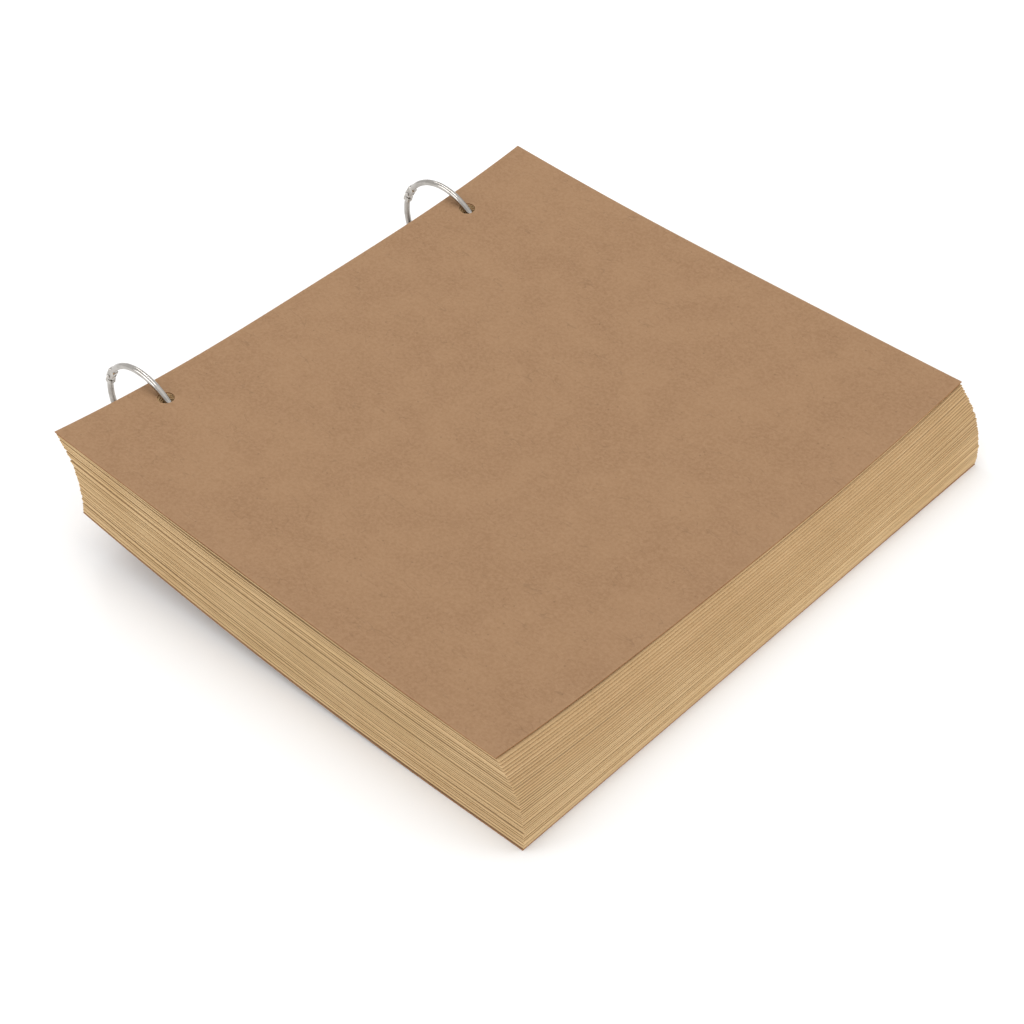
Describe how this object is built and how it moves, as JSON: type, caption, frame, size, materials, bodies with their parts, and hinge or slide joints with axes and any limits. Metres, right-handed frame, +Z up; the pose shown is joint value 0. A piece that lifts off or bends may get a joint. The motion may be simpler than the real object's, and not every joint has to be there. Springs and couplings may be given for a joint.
{
  "type": "ring bound scrapbook album",
  "caption": "Square loose-leaf scrapbook album: a thick stack of brown kraft sheets with soft kraft covers, punched along one edge and held by hinged metal book rings",
  "frame": {"origin": "on the table, under the middle of the closed album's box", "axes": "X from the spine edge to the fore edge, Y along the spine from tail to head, Z up"},
  "size_m": [0.2838, 0.2642, 0.0527],
  "materials": {
    "kraft_cover": "uncoated pinkish brown kraft card, soft mottling, fine fibres and dark specks, matt",
    "kraft_leaf": "uncoated tan kraft paper, yellower at its cut edges, matt",
    "ring_nickel": "bright nickel plated steel wire, smooth and shiny"
  },
  "bodies": {
    "block": {"back_cover": "kraft_cover", "leaf_21": "kraft_leaf", "leaf_22": "kraft_leaf", "leaf_23": "kraft_leaf", "leaf_24": "kraft_leaf", "leaf_25": "kraft_leaf", "leaf_26": "kraft_leaf", "leaf_27": "kraft_leaf", "leaf_28": "kraft_leaf", "leaf_29": "kraft_leaf", "leaf_30": "kraft_leaf", "leaf_31": "kraft_leaf", "leaf_32": "kraft_leaf", "leaf_33": "kraft_leaf", "leaf_34": "kraft_leaf", "leaf_35": "kraft_leaf", "leaf_36": "kraft_leaf", "leaf_37": "kraft_leaf", "leaf_38": "kraft_leaf", "leaf_39": "kraft_leaf", "leaf_40": "kraft_leaf"},
    "front_section": {"leaf_02": "kraft_leaf", "leaf_03": "kraft_leaf", "leaf_04": "kraft_leaf", "leaf_05": "kraft_leaf", "leaf_06": "kraft_leaf", "leaf_07": "kraft_leaf", "leaf_08": "kraft_leaf", "leaf_09": "kraft_leaf", "leaf_10": "kraft_leaf", "leaf_11": "kraft_leaf", "leaf_12": "kraft_leaf", "leaf_13": "kraft_leaf", "leaf_14": "kraft_leaf", "leaf_15": "kraft_leaf", "leaf_16": "kraft_leaf", "leaf_17": "kraft_leaf", "leaf_18": "kraft_leaf", "leaf_19": "kraft_leaf", "leaf_20": "kraft_leaf"},
    "first_leaf": {"leaf_01": "kraft_leaf"},
    "front_cover": {"front_cover": "kraft_cover"},
    "tail_ring": {"tail_ring_hoop": "ring_nickel", "tail_ring_rivet": "ring_nickel"},
    "tail_gate": {"tail_ring_gate": "ring_nickel"},
    "head_ring": {"head_ring_hoop": "ring_nickel", "head_ring_rivet": "ring_nickel"},
    "head_gate": {"head_ring_gate": "ring_nickel"}
  },
  "joints": [
    {"name": "section_turn", "type": "hinge", "parent": "block", "child": "front_section", "pos_m": [-0.11554, 0, 0.02635], "axis": [0, -1, 0], "range_deg": [0, 180]},
    {"name": "leaf_turn", "type": "hinge", "parent": "front_section", "child": "first_leaf", "pos_m": [-0.11554, 0, 0.02635], "axis": [0, -1, 0], "range_deg": [0, 180]},
    {"name": "cover_turn", "type": "hinge", "parent": "first_leaf", "child": "front_cover", "pos_m": [-0.11554, 0, 0.02635], "axis": [0, -1, 0], "range_deg": [0, 180]},
    {"name": "tail_ring_spin", "type": "hinge", "parent": "block", "child": "tail_ring", "pos_m": [-0.11554, -0.08322, 0.02635], "axis": [0, 1, 0], "range_deg": [0, 75]},
    {"name": "tail_gate_open", "type": "hinge", "parent": "tail_ring", "child": "tail_gate", "pos_m": [-0.13697, -0.08322, 0.03923], "axis": [0, 1, 0], "range_deg": [0, 60]},
    {"name": "head_ring_spin", "type": "hinge", "parent": "block", "child": "head_ring", "pos_m": [-0.11554, 0.08678, 0.02635], "axis": [0, 1, 0], "range_deg": [0, 75]},
    {"name": "head_gate_open", "type": "hinge", "parent": "head_ring", "child": "head_gate", "pos_m": [-0.13697, 0.08678, 0.03923], "axis": [0, 1, 0], "range_deg": [0, 60]}
  ]
}
